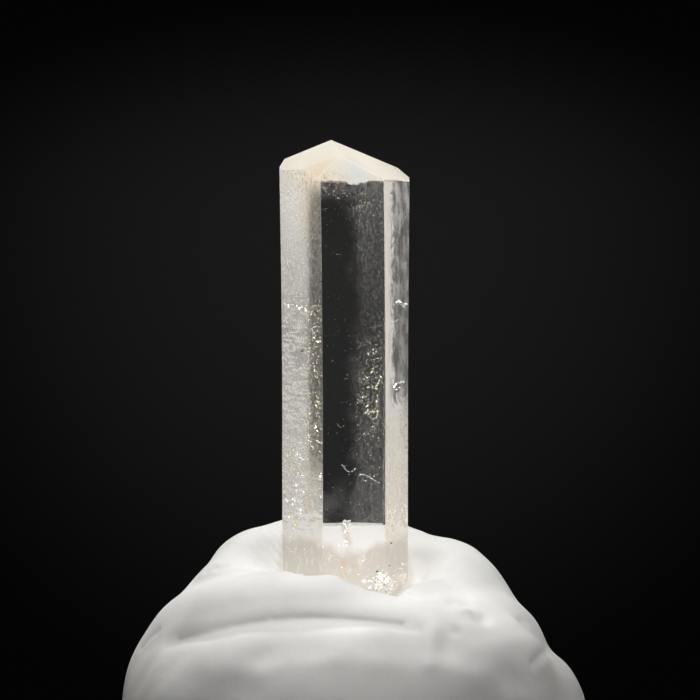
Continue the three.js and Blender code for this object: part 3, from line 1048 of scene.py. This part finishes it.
# lines of photo pixels on the crystal, with the half thickness of each
LEFT_CRACKS = [
    ([(283.5, 304), (288, 305), (292, 305.5)], 0.09),
    ([(294, 305.5), (298, 306.5), (301, 307.5), (306, 309.5)], 0.1),
    ([(285, 327), (287, 332)], 0.04),
    ([(312, 328), (317, 326), (320, 327)], 0.03),
    ([(315, 341), (321, 341)], 0.035),
]
RIGHT_CRACKS = [
    ([(394, 303.5), (398, 302.5), (401, 305), (406.5, 305.5)], 0.1),
    ([(393, 326), (395, 322), (398, 319)], 0.04),
    ([(392, 388), (396, 384), (400, 382), (404, 381)], 0.06),
    ([(394, 390), (400, 388)], 0.07),
]
WINDOW_ARCS = [
    ([(342, 465), (345, 469), (349, 472), (353, 471), (356, 468)], 0.022),
    ([(343, 466), (346, 466), (348, 465)], 0.012),
    ([(358, 476), (362, 474.5), (366, 475), (370, 477.5), (374, 480), (379, 483)], 0.02),
    ([(337, 424), (341, 428)], 0.01),
    ([(345, 378), (348, 379)], 0.012),
    ([(371, 328), (377, 326.5), (383, 325)], 0.012),
    ([(335, 254), (341, 254.5)], 0.01),
    ([(358, 246), (362, 250)], 0.01),
    ([(322, 210), (327, 208)], 0.01),
    ([(326, 559), (331, 556), (336, 555)], 0.012),
    ([(331, 562), (336, 559), (341, 561)], 0.012),
    ([(336, 544), (339, 547)], 0.022),
]

# centre pixel, spread across and up in pixels, and how many
FOOT_SPARKLES = [
    (378, 583, 3.5, 4.0, 50), (389, 585, 3.5, 4.0, 45), (384, 578, 6.0, 3.5, 30),
    (401, 573, 2.0, 5.0, 16),
]
FOOT_FACETS = [(382, 582, 6.0, 5.0, 18), (346, 523, 2.2, 1.6, 7)]
STREAK_FOOT_SPARKLES = [(345, 543, 1.2, 2.2, 12)]
STREAK_SPARKLES = [(346, 529, 2.2, 4.0, 26)]
WINDOW_SPARKLES = [
    (373, 353, 2.5, 3.0, 18), (372, 368, 3.5, 4.0, 22), (376, 384, 3.0, 5.0, 26),
    (363, 399, 2.5, 4.0, 20), (369, 411, 3.0, 4.0, 30), (378, 404, 1.6, 6.0, 24),
    (373, 428, 3.0, 4.0, 28), (380, 372, 1.0, 9.0, 18),
]
WINDOW_TOP_SPARKLES = [(364, 203, 5.0, 8.0, 90), (340, 196, 6.0, 4.0, 40)]

# each row is a function and what it is given after the generator. For sprinkle and scatter:
# how many, the box of photo pixels (left, top, right, bottom), half sizes, the face, and
# for scatter how deep. For clusters: the spots, half sizes and the face.
FRACTURES = [
    (sprinkle, 16, (358, 474, 380, 483), (0.015, 0.035), in_front),
    (sprinkle, 140, (284, 430, 304, 530), (0.018, 0.052), in_left),
    (sprinkle, 60, (284, 190, 307, 425), (0.012, 0.025), in_left),
    (clusters, FOOT_SPARKLES, (0.02, 0.08), in_foot),
    (clusters, FOOT_FACETS, (0.07, 0.15), in_foot),
    (clusters, STREAK_FOOT_SPARKLES, (0.02, 0.06), in_foot),
    (clusters, STREAK_SPARKLES, (0.015, 0.05), in_front),
    (sprinkle, 40, (322, 546, 380, 578), (0.012, 0.035), in_front),
    (sprinkle, 50, (285, 530, 306, 560), (0.012, 0.03), in_left),
    (sprinkle, 40, (394, 210, 408, 400), (0.012, 0.03), in_right),
]
ETCH_GLINTS = [
    (sprinkle, 260, (356, 340, 383, 445), (0.013, 0.03), in_front),
    (clusters, WINDOW_SPARKLES, (0.02, 0.048), in_front),
    (clusters, WINDOW_TOP_SPARKLES, (0.012, 0.03), in_front),
    (sprinkle, 130, (355, 190, 382, 345), (0.01, 0.024), in_front),
    (sprinkle, 90, (355, 445, 382, 520), (0.01, 0.026), in_front),
    (sprinkle, 60, (322, 190, 353, 520), (0.012, 0.025), in_front),
    (sprinkle, 430, (308, 300, 320, 450), (0.02, 0.05), in_left),
    (sprinkle, 130, (308, 195, 320, 300), (0.014, 0.034), in_left),
    (sprinkle, 110, (319.5, 190, 321.5, 500), (0.018, 0.045), in_front),
    (sprinkle, 10, (340, 558, 350, 572), (0.015, 0.035), in_front),
]
PALE_CRUMBS = [
    (clusters, FOOT_SPARKLES, (0.03, 0.11), in_foot),
    (sprinkle, 6, (342, 521, 350, 526), (0.12, 0.2), in_front),
    (scatter, 60, (322, 200, 353, 520), (0.015, 0.035), in_back, (0.02, 0.1)),
]
DARK_SPECKS = [(in_left(302, 351, -0.05), 0.09), (in_right(391, 543, -0.02), 0.07)]
RUST_SPECKS = [
    (sprinkle, 90, (285, 172, 319, 192), (0.012, 0.035), in_left),
    (sprinkle, 50, (321, 180, 345, 187), (0.015, 0.04), in_front),
    (sprinkle, 30, (370, 180, 384, 185), (0.015, 0.035), in_front),
]
VOIDS = [
    (scatter, 200, (356, 335, 383, 450), (0.03, 0.08), in_back, (0.02, 0.25)),
    (scatter, 200, (354, 190, 383, 520), (0.02, 0.05), in_back, (0.02, 0.25)),
    (scatter, 60, (322, 190, 353, 520), (0.015, 0.04), in_back, (0.02, 0.25)),
    (scatter, 220, (309, 280, 320, 460), (0.02, 0.06), in_left, (0.03, 0.5)),
    (scatter, 80, (284, 430, 306, 540), (0.03, 0.07), in_left, (0.05, 0.5)),
    (scatter, 120, (394, 200, 407, 400), (0.02, 0.05), in_right, (0.05, 0.5)),
]


def gathered(rng, rows):
    return [spot for make, *details in rows for spot in make(rng, *details)]


def build_inclusions(crystal):
    rng = random.Random(11)
    white = grain_shade("pale_grain", (0.97, 0.94, 0.88), 0.5)
    gold = glint_shade("golden_glint", (1.0, 0.90, 0.70))
    bright = glint_shade("white_glint", (1.0, 0.985, 0.95))
    dark = grain_shade("dark_grain", (0.02, 0.015, 0.01), 0.6)
    rust = grain_shade("rust_grain", (0.42, 0.25, 0.12), 0.7)
    cracks = []
    for lines, place in (
        (LEFT_CRACKS, in_left), (RIGHT_CRACKS, in_right), (WINDOW_ARCS, in_front),
    ):
        for pixels, size in lines:
            cracks += along(rng, pixels, size, place)
    facets("fractures", flakes(rng, cracks + gathered(rng, FRACTURES)), bright)
    facets("etch_glints", flakes(rng, gathered(rng, ETCH_GLINTS)), gold)
    grains("pale_crumbs", gathered(rng, PALE_CRUMBS), white)
    grains("dark_speck", DARK_SPECKS, dark)
    grains("rust_specks", gathered(rng, RUST_SPECKS), rust)
    add_voids(crystal, gathered(rng, VOIDS))


crystal = build_crystal()
# in the order of the finishes
for make_shade in (clear_shade, worn_shade, frosted_shade, etched_shade, cap_shade,
                   foot_shade, edge_shade, front_shade):
    crystal.data.materials.append(make_shade().material)
putty = build_putty()
putty.data.materials.clear()
putty.data.materials.append(putty_shade().material)

for piece, node, slot in (
    (crystal, "phenakite_crystal", "clear_phenakite"),
    (putty, "mounting_putty", "white_putty"),
):
    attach(piece, "root")
    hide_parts(node)

build_inclusions(crystal)


# ---- stage, light and camera
TABLE = [(-300, -110, 0), (300, -110, 0), (300, 28, 0), (-300, 28, 0)]
TABLE_GREY = (0.36, 0.355, 0.345)


def build_table():
    mesh = bpy.data.meshes.new("table_top")
    mesh.from_pydata([Vector(corner) * MM for corner in TABLE], [], [(0, 1, 2, 3)])
    table = mesh_object("table_top", mesh)
    shade = Shade("pale_table", Base_Color=TABLE_GREY, Roughness=0.85)
    table.data.materials.append(shade.material)


def bearing(azimuth, elevation):
    """The direction of a light in degrees: 0 is behind the crystal (+Y), 90 to the right."""
    a, e = math.radians(azimuth), math.radians(elevation)
    return Vector((math.sin(a) * math.cos(e), math.cos(a) * math.cos(e), math.sin(e)))


def hang(name, light, colour, aim, away, distance):
    light.color = colour
    holder = bpy.data.objects.new(name, light)
    holder.location = (Vector(aim) + away * distance) * MM
    holder.rotation_euler = away.to_track_quat("Z", "Y").to_euler()
    holder.visible_camera = False
    bpy.context.scene.collection.objects.link(holder)


def soft_box(name, azimuth, elevation, distance, size, radiance, colour, aim_z=20.0):
    """An area light aimed at the crystal's axis."""
    light = bpy.data.lights.new(name, "AREA")
    light.shape = "RECTANGLE"
    light.size, light.size_y = (side * MM for side in size)
    light.energy = radiance * math.pi * light.size * light.size_y
    hang(name, light, colour, (0, 0, aim_z), bearing(azimuth, elevation), distance)


def lamp(name, azimuth, elevation, aim, reach, radiance, softness=20.0):
    """A snooted lamp whose pool of light fades to nothing at the given reach from its aim."""
    light = bpy.data.lights.new(name, "SPOT")
    light.spot_size = 2 * math.atan(reach / LAMP_DISTANCE)
    light.spot_blend = 1.0
    light.shadow_soft_size = softness * MM
    light.energy = radiance * 100 * math.pi**2 * (LAMP_DISTANCE * MM) ** 2
    hang(name, light, DAY, aim, bearing(azimuth, elevation), LAMP_DISTANCE)


LAMP_DISTANCE = 420.0
DAY = (1.0, 0.995, 0.985)
WARM = (1.0, 0.955, 0.89)
POOL = (0.0, -1.2, 12.6)
TIP_AIM = (0.2, -2.0, 35.4)
FOOT_AIM = (0.4, -3.0, 12.4)
LEFT_FOOT_AIM = (-3.8, -3.0, 12.6)
RIGHT_FOOT_AIM = (2.4, -1.5, 13.2)
WINDOW_FOOT_AIM = (0.45, -3.4, 13.7)
RIGHT_FACE_AIM = (2.8, -1.0, 27.0)
RIGHT_LOW_AIM = (2.8, -1.0, 17.0)
# each row is a function, then its arguments in order
LIGHTS = [
    (soft_box, "overhead", 180, 87, 420, (290, 290), 0.7, DAY),
    (soft_box, "high_front", 180, 45, 450, (200, 200), 2.0, DAY),
    (lamp, "left_lamp", -90, 50, POOL, 13.0, 0.029),
    (lamp, "right_lamp", 90, 50, POOL, 13.0, 0.017),
    (lamp, "rear_left_lamp", -30, 54, POOL, 14, 0.047),
    (lamp, "rear_right_lamp", 30, 54, POOL, 14, 0.043),
    (lamp, "tip_left_lamp", -140, -3, TIP_AIM, 7, 0.021, 3),
    (lamp, "tip_side_lamp", -90, -3, TIP_AIM, 7, 0.009, 3),
    (lamp, "tip_front_lamp", 165, 5, TIP_AIM, 7, 0.008, 3),
    (lamp, "tip_right_lamp", 100, 40, TIP_AIM, 7, 0.026, 3),
    (lamp, "foot_lamp", 180, 38, FOOT_AIM, 9.9, 0.033, 9),
    (lamp, "left_foot_lamp", -140, 30, LEFT_FOOT_AIM, 10.5, 0.009, 6),
    (lamp, "right_foot_lamp", 130, 25, RIGHT_FOOT_AIM, 5.5, 0.014, 4),
    (lamp, "right_face_lamp", 100, 8, RIGHT_FACE_AIM, 9, 0.010, 4),
    (lamp, "right_low_lamp", 100, 12, RIGHT_LOW_AIM, 5.5, 0.008, 4),
    (lamp, "window_foot_lamp", 180, 12, WINDOW_FOOT_AIM, 3.1, 0.006, 2),
    (soft_box, "rear_canopy", 0, 33, 450, (520, 240), 0.2, WARM),
    (soft_box, "front_fill", 168, -2, 520, (420, 170), 0.1, DAY),
    (soft_box, "back_right", 60, 0, 430, (330, 130), 0.70, WARM, 15.0),
    (soft_box, "back_left", -60, 0, 430, (330, 130), 0.68, WARM, 15.0),
]

# the glow's strength, the rest in degrees, and the share of its size over which it fades
GLOW_CENTRE = 0.0098
GLOW_EDGE = 0.0011
GLOW_ELEVATION = -1.35
GLOW_HALF_WIDTH = 6.3
GLOW_ABOVE = 2.9
GLOW_BELOW = 6.2
GLOW_FADE = (0.15, 1.2)


def build_world():
    """A near-black studio with a faint flat glow behind the crystal."""
    world = bpy.data.worlds.new("studio")
    bpy.context.scene.world = world
    world.use_nodes = True
    nodes = Nodes(world.node_tree)
    place = nodes.node("ShaderNodeTexCoord", {}).outputs["Generated"]
    split = nodes.node("ShaderNodeSeparateXYZ", {0: place}).outputs
    across = nodes.times(split["X"], 1 / math.radians(GLOW_HALF_WIDTH))
    rise = nodes.plus(split["Z"], -math.radians(GLOW_ELEVATION))
    above = nodes.times(nodes.most(rise, 0.0), 1 / math.radians(GLOW_ABOVE))
    below = nodes.times(nodes.math("MINIMUM", rise, 0.0), 1 / math.radians(GLOW_BELOW))
    upright = nodes.plus(above, below)
    squares = nodes.plus(nodes.times(across, across), nodes.times(upright, upright))
    glow = nodes.ramp(nodes.math("SQRT", squares), *GLOW_FADE, GLOW_CENTRE, GLOW_EDGE)
    nodes.fill(nodes.tree.nodes["Background"].inputs["Color"], glow)


# how near and far the camera sees, in metres
CLIP = (0.01, 5.0)
BOUNCES = 24


def build_camera():
    back, _, _ = camera_axes()
    lens = bpy.data.cameras.new("camera")
    lens.sensor_width = SENSOR_WIDTH
    lens.lens = SENSOR_WIDTH * CAMERA_DISTANCE / FRAME_WIDTH
    lens.clip_start, lens.clip_end = CLIP
    camera = bpy.data.objects.new("camera", lens)
    bpy.context.scene.collection.objects.link(camera)
    camera.location = (PIVOT + back * CAMERA_DISTANCE) * MM
    camera.rotation_euler = back.to_track_quat("Z", "Y").to_euler()
    bpy.context.scene.camera = camera


build_table()
for hang_light, *details in LIGHTS:
    hang_light(*details)
build_world()
build_camera()
bpy.context.scene.view_settings.view_transform = "Standard"
bpy.context.scene.cycles.max_bounces = BOUNCES
bpy.context.scene.cycles.transmission_bounces = BOUNCES
